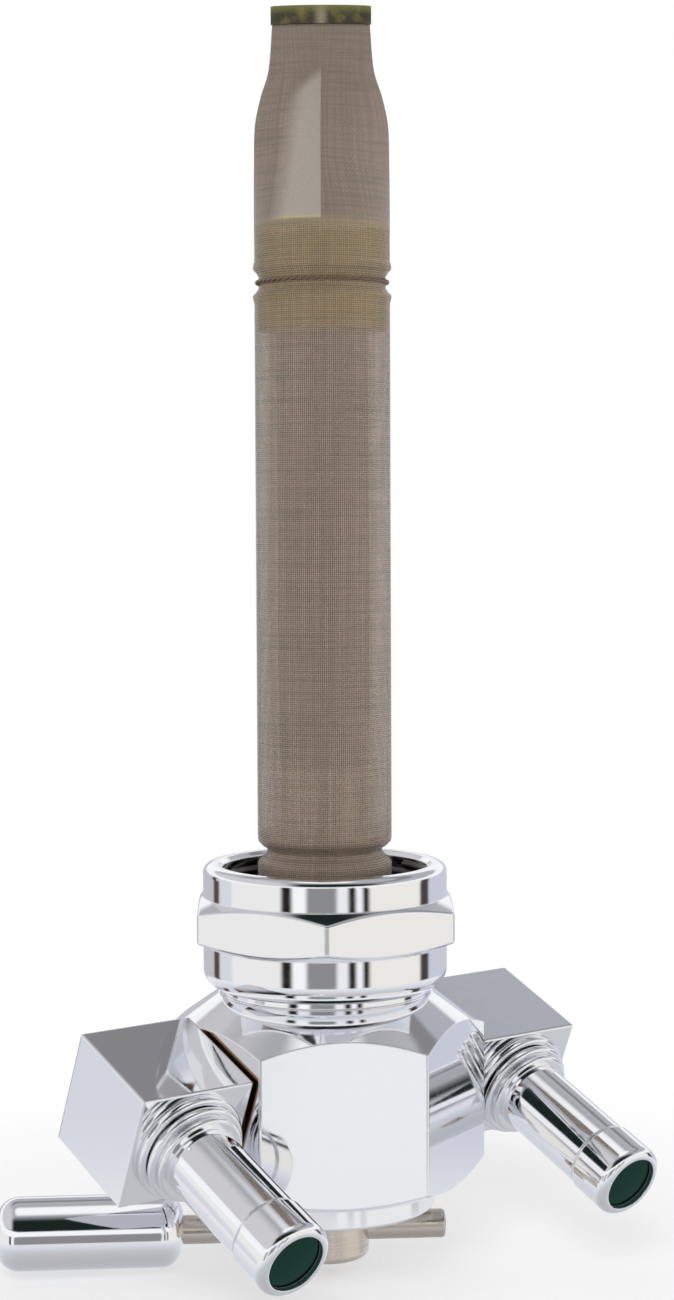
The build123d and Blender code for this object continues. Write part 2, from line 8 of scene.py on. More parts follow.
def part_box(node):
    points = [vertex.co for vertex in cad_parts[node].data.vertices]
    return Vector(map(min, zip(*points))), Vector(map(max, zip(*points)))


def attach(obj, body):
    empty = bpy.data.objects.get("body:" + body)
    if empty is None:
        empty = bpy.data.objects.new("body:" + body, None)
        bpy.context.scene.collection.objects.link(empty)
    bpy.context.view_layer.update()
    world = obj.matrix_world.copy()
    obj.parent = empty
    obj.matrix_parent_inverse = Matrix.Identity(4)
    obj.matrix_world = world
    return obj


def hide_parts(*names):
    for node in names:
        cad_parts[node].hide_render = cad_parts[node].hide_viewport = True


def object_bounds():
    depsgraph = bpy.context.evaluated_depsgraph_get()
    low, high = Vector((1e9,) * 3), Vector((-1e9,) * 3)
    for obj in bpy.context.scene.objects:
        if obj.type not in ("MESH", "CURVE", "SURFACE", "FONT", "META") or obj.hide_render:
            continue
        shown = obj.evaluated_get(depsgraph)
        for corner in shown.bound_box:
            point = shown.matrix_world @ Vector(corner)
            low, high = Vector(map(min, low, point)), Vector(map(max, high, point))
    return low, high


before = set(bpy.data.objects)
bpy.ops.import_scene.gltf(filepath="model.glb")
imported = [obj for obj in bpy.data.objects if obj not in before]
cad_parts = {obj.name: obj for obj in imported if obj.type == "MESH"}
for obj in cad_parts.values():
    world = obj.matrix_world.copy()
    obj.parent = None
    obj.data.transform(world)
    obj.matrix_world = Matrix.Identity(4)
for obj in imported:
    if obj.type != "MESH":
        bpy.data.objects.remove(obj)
cad_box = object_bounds()

MM = 0.001

# Camera, fitted to the photograph
IMAGE_HEIGHT = 1300
FOCAL_PIXELS = 2472
SENSOR = 36
CAMERA_PLACE = Vector((-159.57, -210.41, 39.11)) * MM
CAMERA_AZIMUTH = radians(-37.481)
CAMERA_ELEVATION = radians(3.518)
CAMERA_ROLL = radians(-0.25)
CAMERA_NEAR = 10 * MM

# Numbers of the sockets that share their name with another of the same node: the inputs of a map
# range, then the factor, the two values and the two colours of a mix, and its colour output
VALUE, START, END, LOW, HIGH = range(5)
FACTOR, VALUE_A, VALUE_B, COLOUR_A, COLOUR_B = 0, 2, 3, 6, 7
COLOUR = 2

# Settings that several nodes share
SMOOTH = {"interpolation_type": "SMOOTHSTEP"}
COLOURS = {"data_type": "RGBA"}
TINT = {"data_type": "RGBA", "blend_type": "MULTIPLY"}

# Noise seldom leaves this range, which is spread over the whole of what it steers
NOISE_LOW, NOISE_HIGH = 0.35, 0.65
# Way over which one finish passes into the next at a sharp border
BORDER = 0.05 * MM

# Chrome: its colour, the size of its hazy patches and of its ripple, and the rounding that
# buffing gives to every edge
CHROME = "#F4F5F8"
HAZE_SIZE = 1.2 * MM
RIPPLE_SIZE = 5 * MM
RIPPLE_DEPTH = 0.03 * MM
EDGE_ROUND = 0.25 * MM

# Outlet blocks: distance from the tap's axis at which the bare inner face ends and the plating
# is whole
BARE_END = 15.55 * MM
PLATED_START = 15.75 * MM

# Hose spigots: the axis of each passes the middle of its block. The bore's finish reaches just
# past the bore's wall, the plating runs a little way in, and a black line marks its end
OUTLET_TILT = radians(22.5)
BORE_REACH = 3.12 * MM
PLATED_DEPTH = 0.55 * MM
BORE_RIM = 0.35 * MM

# Union nut's inner thread, which the solids leave plain
THREAD_RADIUS = 11.0 * MM
THREAD_DEPTH = 0.55 * MM
THREAD_PITCH = 1.0 * MM
THREAD_TURNS = 4
THREAD_TOP = -0.7 * MM
THREAD_STEPS = 96

# Wire cloth of the filter: its outer form is the solid's, from the hem inside the nut upwards
CLOTH_RADIUS = 7.2 * MM
CLOTH_THICKNESS = 0.09 * MM
CLOTH_HEM = -5.2 * MM
NECK_RADIUS = 5.95 * MM
NECK_HEIGHT = 1.5 * MM
FLARE_HEIGHT = 1.3 * MM
LIP_HEIGHT = 1.1 * MM
LIP_POWER = 1.6
CLOTH_SEGMENTS = 144
RING_SPACING = 0.4 * MM
SEAM_JOIN = 0.001 * MM

# The tie's groove, and the bulges above and below it
TIE_HEIGHT = 61.9 * MM
TIE_DEPTH = 0.45 * MM
TIE_WIDTH = 1.4 * MM
TIE_BULGE = 0.2 * MM
TIE_BULGE_PLACE = 1.1 * TIE_WIDTH

# Fold that shuts the cloth on top, with one crest in front. A station is a share of the rise,
# the shares of their way that the width and the depth have gone there, and the power of the
# outline, which is 2 for a round one and lower for one with crests
FOLD_TURN = radians(142)
FOLD_LEFT = Vector((cos(FOLD_TURN), sin(FOLD_TURN), 0))
FOLD_FRONT = Vector((-sin(FOLD_TURN), cos(FOLD_TURN), 0))
FOLD_BOTTOM = 67.9 * MM
FOLD_TOP = 88.9 * MM
FOLD_HALF_WIDTH = 5.15 * MM
FOLD_HALF_THICKNESS = 0.8 * MM
FOLD_STATIONS = (
    (0, 0, 0, 2), (0.12, 0, 0.03, 1.7), (0.3, 0.02, 0.12, 1.3), (0.5, 0.08, 0.35, 1.25),
    (0.64, 0.38, 0.6, 1.3), (0.77, 0.79, 0.85, 1.5), (1, 1, 1, 2))

# Flap: the part of the fold left of the crest, which painted light makes bright, with a slanting
# top, a left edge that fades out, and a painted pale line of light along its bottom that fades out
# at these heights
FLAP_WIDTH = 5.6 * MM
FLAP_TOP_WIDTH = 3.2 * MM
FLAP_TOP = 84.5 * MM
FLAP_SLANT = 0.8
FLAP_EDGE_FADE = 2 * MM
FLAP_FRONT_FADE = 0.5 * MM
FLAP_TOP_FADE = 1.5 * MM
FLAP_LINE_FADE = (FOLD_BOTTOM + 0.25 * MM, FOLD_BOTTOM + 0.4 * MM)

# Weave: a gap opens where the wave of the wires is higher than WIRE_SHARE, and lets OPEN_SHARE
# of the light through. That falls to FOLD_OPEN_SHARE where the cloth lies double in the fold,
# from OPEN_FADE below the fold's bottom to FOLD_EDGE above it
WIRE_SPACING = 0.22 * MM
WIRE_SHARE = 0.3
OPEN_SHARE = 0.7
FOLD_OPEN_SHARE = 0.1
OPEN_FADE = 1.4 * MM
FOLD_EDGE = 0.2 * MM
# Band where the cloth lies against the top bushing and looks yellower: the height of its
# bottom, and half the way over which it fades there and at the fold
BAND_BOTTOM = 56.8 * MM
BAND_FADE = 0.7 * MM

# Cloth tones: the wires, runs of paler warp and darker weft with the scale of their noise, and
# tints of the fold, which is painted shade, and of the band
WIRE_TONE = "#9A8B7D"
THREADS = (("warp", (150, 4, 1), "#B19C91"), ("weft", (3, 300, 1), "#8A8170"))
FOLD_SHADE_TINT = "#D6D5D5"
BAND_TINT = "#FFFCE4"

# Sealed end: half the width of the thin coat over the crest, and the height of the painted
# highlight along its top edge
THIN_HALF_WIDTH = 1.0 * MM
SEAL_TOP_HIGHLIGHT = 0.9 * MM

# Binding wire: two strands twisted together in the groove
TIE_STRAND = 0.12 * MM
TIE_RADIUS = 6.9 * MM
TIE_TWISTS = 26
TIE_POINTS_PER_TWIST = 8

# Studio walls as the chrome sees them: bearing from the camera's side in degrees, to the right,
# at which each card starts, and its tone
STUDIO_CARDS = (
    (-180, "#C4C3CA"), (-129, "#5A4A40"), (-118, "#DCDEE5"), (-98, "#F3F2EF"), (-41, "#26211F"),
    (-31, "#FFFFFF"), (-17, "#8F8F92"), (11, "#F4F4F6"), (22, "#2B2725"), (29, "#FAFAFA"),
    (36, "#141312"), (42, "#F4F1EA"), (101, "#4A4442"), (114, "#CDD0DC"),
)
CARD_EDGE = 2
# Tones below and above the walls, each at its height as a part of the distance: the same floor
# and white rail, under a roof that is grey at the back and dark over the camera
STUDIO_FLOOR = ((-1, "#BBBCC0"), (-0.75, "#C6C7CB"), (-0.5, "#DADDE3"), (-0.3, "#F0F0F2"))
BACK_ROOF = STUDIO_FLOOR + (
    (0.15, "#FFFFFF"), (0.36, "#FBFBFC"), (0.42, "#B4B5BA"), (0.67, "#B0B2B9"), (0.70, "#8A888A"),
    (0.78, "#8A888A"), (0.82, "#B7B7BB"), (0.95, "#ADADB1"), (0.98, "#FFFFFF"))
FRONT_ROOF = STUDIO_FLOOR + (
    (0.15, "#FFFFFF"), (0.36, "#FFFFFF"), (0.40, "#1C2624"), (0.93, "#1C2624"), (0.97, "#FFFFFF"))
SIDE_ROOF_TONE = "#D3D1D3"
# Start and end of the ways over which the studio's parts pass into each other, as parts of the
# distance: sideways, upwards, towards the camera, and upwards for the foot and top of the walls
SIDE_ROOF_LEFT = (-0.3, -0.6)
SIDE_ROOF_FOOT = (0.36, 0.44)
FRONT_ROOF_BACK = (0.25, 0.6)
WALL_FOOT = (-0.3, -0.24)
WALL_TOP = (0.11, 0.16)

# Floor under the tap: its half width in metres, how far it lies below the tap, and where it
# starts and ends to fade into the white of the background
FLOOR_HALF_WIDTH = 3
FLOOR_GAP = 1.0 * MM
FLOOR_FADE = (55 * MM, 105 * MM)

# Point that the lamps aim at
LAMP_TARGET = Vector((0, 0, 20)) * MM


def linear(code):
    """A hex colour as the linear values that a shader works in."""
    parts = [int(code[i:i + 2], 16) / 255 for i in (1, 3, 5)]
    return tuple(p / 12.92 if p <= 0.04045 else ((p + 0.055) / 1.055) ** 2.4 for p in parts) + (1,)


def plug(tree, node, sockets):
    """Give each named or numbered socket of a node its value or its link."""
    for key, value in dict(sockets).items():
        if isinstance(value, bpy.types.NodeSocket):
            tree.links.new(value, node.inputs[key])
        else:
            node.inputs[key].default_value = value


def add(tree, kind, settings=(), sockets=(), stops=()):
    """Add a node of a kind: settings are its own, a socket gets a value or a link, and a colour
    ramp gets its stops, each a place from 0 to 1 and a hex colour."""
    node = tree.nodes.new("ShaderNode" + kind)
    for name, value in dict(settings).items():
        setattr(node, name, value)
    plug(tree, node, sockets)
    for index, (position, code) in enumerate(stops):
        ramp = node.color_ramp.elements
        stop = ramp[index] if index < 2 else ramp.new(position)
        stop.position, stop.color = position, linear(code)
    return node


def new_material(name):
    """A new material, with its node tree and its Principled shader."""
    material = bpy.data.materials.new(name)
    material.use_nodes = True
    return material, material.node_tree, material.node_tree.nodes["Principled BSDF"]


def grain(tree, size, detail=2.0, stretch=(1, 1, 1)):
    """Noise whose features measure about size in metres, drawn out by stretch."""
    place = add(tree, "TexCoord")
    mapping = add(tree, "Mapping", {}, {0: place.outputs["Object"], "Scale": stretch})
    noise = add(tree, "TexNoise", {}, {
        "Vector": mapping.outputs[0], "Scale": 1 / size, "Detail": detail})
    return noise.outputs["Fac"]


def uneven(tree, low, high, size, detail=2.0, stretch=(1, 1, 1)):
    """A value that wanders between low and high, over features of about size in metres."""
    noise = grain(tree, size, detail, stretch)
    spread = add(tree, "MapRange", {}, {
        VALUE: noise, START: NOISE_LOW, END: NOISE_HIGH, LOW: low, HIGH: high})
    return spread.outputs[0]


def chrome_surface(tree):
    """Roughness and normal of the chrome: hazy in patches, with a faint ripple from the buffing
    wheel, and edges that it has rounded, which catch thin lines of light."""
    haze = uneven(tree, 0.03, 0.075, HAZE_SIZE, detail=4.0)
    edge = add(tree, "Bevel", {"samples": 6}, {"Radius": EDGE_ROUND})
    ripple = add(tree, "Bump", {}, {
        "Height": grain(tree, RIPPLE_SIZE, detail=1.0), "Distance": RIPPLE_DEPTH,
        "Strength": 0.2, "Normal": edge.outputs[0]})
    return haze, ripple.outputs[0]


def chrome_plate():
    """Bright chrome on buffed brass: a cold mirror of the studio."""
    material, tree, shader = new_material("bright_chrome")
    haze, ripple = chrome_surface(tree)
    plug(tree, shader, {
        "Base Color": linear(CHROME), "Metallic": 1.0, "Roughness": haze, "Normal": ripple})
    return material


def block_plate():
    """The same chrome on the outlet blocks, and bare brass on the face against the body, which
    shows as a warm streak in the body's flat."""
    material, tree, shader = new_material("block_chrome")
    haze, ripple = chrome_surface(tree)
    place = add(tree, "TexCoord")
    split = add(tree, "SeparateXYZ", {}, {0: place.outputs["Object"]})
    aside = add(tree, "Math", {"operation": "ABSOLUTE"}, {0: split.outputs[0]})
    bare = add(tree, "MapRange", {}, {
        VALUE: aside.outputs[0], START: BARE_END, END: PLATED_START, LOW: 1.0, HIGH: 0.0})
    colour = add(tree, "Mix", COLOURS, {
        FACTOR: bare.outputs[0], COLOUR_A: linear(CHROME), COLOUR_B: linear("#A9825C")})
    rough = add(tree, "Mix", {}, {FACTOR: bare.outputs[0], VALUE_A: haze, VALUE_B: 0.35})
    plug(tree, shader, {
        "Base Color": colour.outputs[COLOUR], "Metallic": 1.0, "Roughness": rough.outputs[0],
        "Normal": ripple})
    return material


def spigot_plate(side):
    """The same chrome outside and just inside the mouth, and brass gone dark green further up
    the bore, with a black line where the plating ends. The green glows faintly, for the light
    that a real bore collects."""
    material, tree, shader = new_material(f"{side}_spigot_chrome")
    haze, ripple = chrome_surface(tree)
    low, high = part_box(f"{side}_outlet_block")
    middle = (Vector(low) + Vector(high)) / 2
    axis = Vector((0, -cos(OUTLET_TILT), -sin(OUTLET_TILT)))
    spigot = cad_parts[f"{side}_hose_spigot"]
    tip = max(axis.dot(vertex.co) for vertex in spigot.data.vertices)
    place = add(tree, "TexCoord").outputs["Object"]
    from_middle = add(tree, "VectorMath", {"operation": "SUBTRACT"}, {0: place, 1: middle})
    across = add(tree, "VectorMath", {"operation": "CROSS_PRODUCT"}, {
        0: from_middle.outputs[0], 1: axis})
    distance = add(tree, "VectorMath", {"operation": "LENGTH"}, {0: across.outputs[0]})
    inside = add(tree, "MapRange", {}, {
        VALUE: distance.outputs["Value"], START: BORE_REACH, END: BORE_REACH + BORDER,
        LOW: 1.0, HIGH: 0.0})
    along = add(tree, "VectorMath", {"operation": "DOT_PRODUCT"}, {0: place, 1: axis})
    unplated = []
    for depth in (PLATED_DEPTH, PLATED_DEPTH + BORE_RIM):
        deeper = add(tree, "MapRange", {}, {
            VALUE: along.outputs["Value"], START: tip - depth - BORDER, END: tip - depth,
            LOW: 1.0, HIGH: 0.0})
        share = add(tree, "Math", {"operation": "MULTIPLY"}, {
            0: inside.outputs[0], 1: deeper.outputs[0]})
        unplated.append(share.outputs[0])
    colour = linear(CHROME)
    for share, tone in zip(unplated, ("#0B100F", "#14221E")):
        colour = add(tree, "Mix", COLOURS, {
            FACTOR: share, COLOUR_A: colour, COLOUR_B: linear(tone)}).outputs[COLOUR]
    mouth, bore = unplated
    metal = add(tree, "Math", {"operation": "SUBTRACT"}, {0: 1.0, 1: mouth})
    rough = add(tree, "Mix", {}, {FACTOR: mouth, VALUE_A: haze, VALUE_B: 0.7})
    plug(tree, shader, {
        "Base Color": colour, "Metallic": metal.outputs[0], "Roughness": rough.outputs[0],
        "Normal": ripple, "Specular IOR Level": 0.15, "Emission Color": linear("#1B342D"),
        "Emission Strength": bore})
    return material


def turned_steel(
        name, colour, roughness, line=0.12 * MM, stretch=(0.03, 0.03, 1), depth=0.002 * MM):
    """Steel as the lathe leaves it: fine rings that soften each reflection across them. With a
    coarser line and no stretch, drawn steel with an uneven skin."""
    material, tree, shader = new_material(name)
    rings = add(tree, "Bump", {}, {
        "Height": grain(tree, line, stretch=stretch), "Distance": depth, "Strength": 1.0})
    plug(tree, shader, {
        "Base Color": linear(colour), "Metallic": 1.0,
        "Roughness": uneven(tree, 0.7 * roughness, 1.5 * roughness, line, stretch=stretch),
        "Normal": rings.outputs[0]})
    return material


def dull_brass(name, colour, roughness):
    """Brass that has stood in fuel: a brown film of uneven depth over turned metal."""
    material, tree, shader = new_material(name)
    deep = tuple(0.6 * part for part in linear(colour)[:3]) + (1,)
    tone = add(tree, "Mix", COLOURS, {
        FACTOR: uneven(tree, 0.0, 1.0, 2.5 * MM, detail=4.0), COLOUR_A: linear(colour),
        COLOUR_B: deep})
    rings = add(tree, "Bump", {}, {
        "Height": grain(tree, 0.1 * MM, stretch=(0.05, 0.05, 1)), "Distance": 0.008 * MM,
        "Strength": 0.4})
    plug(tree, shader, {
        "Base Color": tone.outputs[COLOUR], "Metallic": 1.0, "Roughness": roughness,
        "Normal": rings.outputs[0]})
    return material


def moulded_rubber():
    """Fuel-proof rubber: black, matt, with a dusty bloom."""
    material, tree, shader = new_material("moulded_rubber")
    skin = add(tree, "Bump", {}, {
        "Height": grain(tree, 0.1 * MM, detail=3.0), "Distance": 0.01 * MM, "Strength": 0.5})
    plug(tree, shader, {
        "Base Color": linear("#1B1B1B"), "Normal": skin.outputs[0],
        "Roughness": uneven(tree, 0.5, 0.75, 0.4 * MM, detail=5.0)})
    return material


def pressed_fibre():
    """Dark sealing fibre: matt and slightly fuzzy at its edge."""
    material, tree, shader = new_material("pressed_fibre")
    fuzz = add(tree, "Bump", {}, {
        "Height": grain(tree, 0.08 * MM, detail=5.0), "Distance": 0.02 * MM, "Strength": 0.7})
    plug(tree, shader, {
        "Base Color": linear("#2A2622"), "Roughness": 0.85, "Normal": fuzz.outputs[0]})
    return material


def weave(tree, uv):
    """The cloth's wires from its UV map: 1 in a gap and 0 on a wire, and how high they stand."""
    around = round(2 * pi * CLOTH_RADIUS / WIRE_SPACING)
    along = round((FOLD_TOP - CLOTH_HEM) / WIRE_SPACING)
    count = add(tree, "VectorMath", {"operation": "MULTIPLY"}, {
        0: uv, 1: (pi * around, pi * along, 0)})
    split = add(tree, "SeparateXYZ", {}, {0: count.outputs[0]})
    waves, gaps = [], []
    for way in (0, 1):
        wave = add(tree, "Math", {"operation": "SINE"}, {0: split.outputs[way]})
        size = add(tree, "Math", {"operation": "ABSOLUTE"}, {0: wave.outputs[0]})
        gap = add(tree, "Math", {"operation": "GREATER_THAN"}, {0: size.outputs[0], 1: WIRE_SHARE})
        waves.append(wave.outputs[0])
        gaps.append(gap.outputs[0])
    return [
        add(tree, "Math", {"operation": "MULTIPLY"}, {0: first, 1: second}).outputs[0]
        for first, second in (gaps, waves)]


def thread_tone(tree, uv):
    """The wires' colour, with threads that run a little lighter or darker both ways."""
    tone = linear(WIRE_TONE)
    for name, scale, other in THREADS:
        thread = add(tree, "Mapping", {"label": name}, {0: uv, "Scale": scale})
        run = add(tree, "TexNoise", {}, {
            "Vector": thread.outputs[0], "Scale": 1.0, "Detail": 3.0})
        share = add(tree, "MapRange", {}, {VALUE: run.outputs["Fac"], START: 0.45, END: 0.75})
        tone = add(tree, "Mix", COLOURS, {
            FACTOR: share.outputs[0], COLOUR_A: tone, COLOUR_B: linear(other)}).outputs[COLOUR]
    return tone


def flap_light_share(tree, place, height):
    """Share of the painted light on the flap: 1 on the flap and 0 beside it, with soft edges on
    the left and on top.
    """
    beside, ahead, slanted = [
        add(tree, "VectorMath", {"operation": "DOT_PRODUCT"}, {0: place, 1: way}).outputs["Value"]
        for way in (FOLD_LEFT, FOLD_FRONT, FLAP_SLANT * FOLD_LEFT + Vector((0, 0, 1)))]
    far_edge = add(tree, "MapRange", {}, {
        VALUE: height, START: FOLD_BOTTOM, END: FLAP_TOP, LOW: FLAP_WIDTH, HIGH: FLAP_TOP_WIDTH})
    from_edge = add(tree, "Math", {"operation": "SUBTRACT"}, {0: far_edge.outputs[0], 1: beside})
    share = 1.0
    for value, start, end in (
            (height, FOLD_BOTTOM, FOLD_BOTTOM + FOLD_EDGE), (beside, -BORDER, BORDER),
            (from_edge.outputs[0], 0.0, FLAP_EDGE_FADE), (ahead, 0.0, FLAP_FRONT_FADE),
            (slanted, FLAP_TOP, FLAP_TOP - FLAP_TOP_FADE)):
        mask = add(tree, "MapRange", {}, {VALUE: value, START: start, END: end})
        share = add(tree, "Math", {"operation": "MULTIPLY"}, {
            0: share, 1: mask.outputs[0]}).outputs[0]
    return share


def wire_cloth():
    """Woven bronze wire dulled to grey-brown, which lets the brass behind it show through. Its
    real mesh is finer than the render can show, so the wires are drawn coarser. The cloth is
    painted greyer in the fold as shade, and lets less light through there, where it lies double;
    it is yellower over the top bushing, and painted light makes the flap left of the crest in
    front brighter."""
    material, tree, shader = new_material("wire_cloth")
    uv = add(tree, "UVMap", {"uv_map": "weave"}).outputs[0]
    place = add(tree, "TexCoord").outputs["Object"]
    height = add(tree, "SeparateXYZ", {}, {0: place}).outputs[2]
    hole, relief = weave(tree, uv)
    clear = add(tree, "MapRange", {}, {
        VALUE: height, START: FOLD_BOTTOM - OPEN_FADE, END: FOLD_BOTTOM + FOLD_EDGE,
        LOW: OPEN_SHARE, HIGH: FOLD_OPEN_SHARE})
    open_part = add(tree, "Math", {"operation": "MULTIPLY"}, {0: hole, 1: clear.outputs[0]})
    solid_part = add(tree, "Math", {"operation": "SUBTRACT"}, {0: 1.0, 1: open_part.outputs[0]})
    crossing = add(tree, "Bump", {}, {"Height": relief, "Distance": 0.03 * MM, "Strength": 0.6})
    above, in_fold = [
        add(tree, "MapRange", {}, {
            VALUE: height, START: border - BAND_FADE, END: border + BAND_FADE}).outputs[0]
        for border in (BAND_BOTTOM, FOLD_BOTTOM)]
    in_band = add(tree, "Math", {"operation": "SUBTRACT"}, {0: above, 1: in_fold})
    tone = thread_tone(tree, uv)
    # The fold's tint darkens it as painted shade; the band's tint makes the cloth over the bushing
    # yellower
    for share, tint in ((in_fold, FOLD_SHADE_TINT), (in_band.outputs[0], BAND_TINT)):
        tone = add(tree, "Mix", TINT, {
            FACTOR: share, COLOUR_A: tone, COLOUR_B: linear(tint)}).outputs[COLOUR]
    # Painted light on the flap: a pale line along its bottom, and a lighter tone over the rest of
    # it
    over_line = add(tree, "MapRange", {}, {
        VALUE: height, START: FLAP_LINE_FADE[0], END: FLAP_LINE_FADE[1]})
    flap_light_tone = add(tree, "Mix", COLOURS, {
        FACTOR: over_line.outputs[0], COLOUR_A: linear("#B5A982"), COLOUR_B: linear("#A69D94")})
    colour = add(tree, "Mix", COLOURS, {
        FACTOR: flap_light_share(tree, place, height), COLOUR_A: tone,
        COLOUR_B: flap_light_tone.outputs[COLOUR]})
    plug(tree, shader, {
        "Base Color": colour.outputs[COLOUR], "Metallic": 0.3, "Roughness": 0.5,
        "Alpha": solid_part.outputs[0], "Normal": crossing.outputs[0], "Sheen Weight": 0.25,
        "Sheen Roughness": 0.4})
    return material


def sealing_resin():
    """Brown-black resin that the cloth's end was dipped in: glossy, streaked, with drawn edges,
    thin over the crest in the middle, and with a painted olive highlight along its top edge."""
    material, tree, shader = new_material("sealing_resin")
    place = add(tree, "TexCoord").outputs["Object"]
    height = add(tree, "SeparateXYZ", {}, {0: place}).outputs[2]
    across = add(tree, "VectorMath", {"operation": "DOT_PRODUCT"}, {0: place, 1: FOLD_LEFT})
    aside = add(tree, "Math", {"operation": "ABSOLUTE"}, {0: across.outputs["Value"]})
    streak = add(tree, "MapRange", {}, {
        VALUE: grain(tree, 1.5 * MM, detail=3.0), START: 0.5, END: 0.7})
    thin = add(tree, "MapRange", SMOOTH, {
        VALUE: aside.outputs[0], START: 0.0, END: THIN_HALF_WIDTH, LOW: 0.5, HIGH: 0.0})
    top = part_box("screen_end_seal")[1][2]
    rim_highlight = add(tree, "MapRange", {}, {VALUE: height, START: top - SEAL_TOP_HIGHLIGHT, END: top, HIGH: 0.8})
    colour = linear("#2B2A14")
    # The olive tone towards the top is a painted highlight
    for share, tone in ((streak, "#5C5425"), (thin, "#9A8F78"), (rim_highlight, "#6E6A35")):
        colour = add(tree, "Mix", COLOURS, {
            FACTOR: share.outputs[0], COLOUR_A: colour, COLOUR_B: linear(tone)}).outputs[COLOUR]
    drawn = add(tree, "Bump", {}, {
        "Height": grain(tree, 0.4 * MM, detail=4.0), "Distance": 0.05 * MM, "Strength": 0.6})
    plug(tree, shader, {"Base Color": colour, "Roughness": 0.35, "Normal": drawn.outputs[0]})
    return material


def binding_wire():
    """Soft wire gone the same grey-brown as the cloth, a little redder."""
    material, tree, shader = new_material("binding_wire")
    drawn = add(tree, "Bump", {}, {
        "Height": grain(tree, 0.3 * MM), "Distance": 0.01 * MM, "Strength": 0.5})
    plug(tree, shader, {
        "Base Color": linear("#836F5F"), "Metallic": 0.7, "Roughness": 0.45,
        "Normal": drawn.outputs[0]})
    return material


def piece(name, mesh, material, body):
    """Make a mesh or a curve a piece of the tap, with its finish, riding on a body."""
    obj = bpy.data.objects.new(name, mesh)
    bpy.context.scene.collection.objects.link(obj)
    obj.data.materials.append(material)
    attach(obj, body)
    return obj


def finished(bm, name):
    """Turn a bmesh into a smooth mesh with outward faces."""
    bmesh.ops.recalc_face_normals(bm, faces=bm.faces)
    mesh = bpy.data.meshes.new(name)
    bm.to_mesh(mesh)
    bm.free()
    mesh.shade_smooth()
    return mesh


def smooth_share(rise, column):
    """A column of the fold's stations at a rise, on a smooth curve through them."""
    last = len(FOLD_STATIONS) - 1
    start = max(k for k in range(last) if FOLD_STATIONS[k][0] <= rise)
    points = [FOLD_STATIONS[min(max(start + k, 0), last)] for k in (-1, 0, 1, 2)]
    before, low, high, after = [(point[0], point[column]) for point in points]
    width = high[0] - low[0]
    part = (rise - low[0]) / width
    slope_low = (high[1] - before[1]) / (high[0] - before[0]) * width
    slope_high = (after[1] - low[1]) / (after[0] - low[0]) * width
    return (
        low[1] * (2 * part ** 3 - 3 * part ** 2 + 1)
        + slope_low * (part ** 3 - 2 * part ** 2 + part)
        + high[1] * (3 * part ** 2 - 2 * part ** 3)
        + slope_high * (part ** 3 - part ** 2))


def cloth_radius(height):
    """Distance of the cloth from the axis at a height, below its folded top."""
    radius = CLOTH_RADIUS
    neck_depth = CLOTH_RADIUS - NECK_RADIUS
    if NECK_HEIGHT - FLARE_HEIGHT < height < NECK_HEIGHT:
        radius -= neck_depth * (1 - (NECK_HEIGHT - height) / FLARE_HEIGHT)
    elif NECK_HEIGHT <= height < NECK_HEIGHT + LIP_HEIGHT:
        radius -= neck_depth * (1 - (height - NECK_HEIGHT) / LIP_HEIGHT) ** LIP_POWER
    from_tie = abs(height - TIE_HEIGHT)
    groove = (from_tie - TIE_WIDTH / 2) / (TIE_WIDTH / 2)
    radius -= TIE_DEPTH * min(max(1 - groove, 0), 1)
    bulge = (from_tie - TIE_BULGE_PLACE) / (TIE_WIDTH / 2)
    radius += TIE_BULGE * max(1 - abs(bulge), 0)
    return radius


def cloth_point(height, angle):
    """Place of the cloth's point that lay at a height and an angle before its top was folded."""
    rise = (height - FOLD_BOTTOM) / (FOLD_TOP - FOLD_BOTTOM)
    if rise <= 0:
        radius = cloth_radius(height)
        return Vector((radius * cos(angle), radius * sin(angle), height))
    half_width = CLOTH_RADIUS + (FOLD_HALF_WIDTH - CLOTH_RADIUS) * smooth_share(rise, 1)
    half_depth = CLOTH_RADIUS + (FOLD_HALF_THICKNESS - CLOTH_RADIUS) * smooth_share(rise, 2)
    power = 2 / smooth_share(rise, 3)
    turn = angle - FOLD_TURN
    across = copysign(half_width * abs(cos(turn)) ** power, cos(turn))
    along = copysign(half_depth * abs(sin(turn)) ** power, sin(turn))
    return Matrix.Rotation(FOLD_TURN, 3, "Z") @ Vector((across, along, height))


def filter_cloth(material):
    """The filter's wire cloth: a flat net that is rolled into a tube, drawn to its shape from the
    hem to the folded top and joined along its seam."""
    bm = bmesh.new()
    bm.loops.layers.uv.new("weave")
    length = FOLD_TOP - CLOTH_HEM
    bmesh.ops.create_grid(
        bm, x_segments=CLOTH_SEGMENTS, y_segments=round(length / RING_SPACING), size=0.5,
        matrix=Matrix.Translation((0.5, 0.5, 0)), calc_uvs=True)
    seam = [
        vertex for vertex in bm.verts
        if round(vertex.co.x * CLOTH_SEGMENTS) % CLOTH_SEGMENTS == 0]
    for vertex in bm.verts:
        vertex.co = cloth_point(CLOTH_HEM + length * vertex.co.y, 2 * pi * vertex.co.x)
    bmesh.ops.remove_doubles(bm, verts=seam, dist=SEAM_JOIN)
    obj = piece("filter_cloth", finished(bm, "filter_cloth"), material, "tap")
    thickness = obj.modifiers.new("thickness", "SOLIDIFY")
    thickness.thickness = CLOTH_THICKNESS
    thickness.offset = -1
    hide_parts("filter_screen")


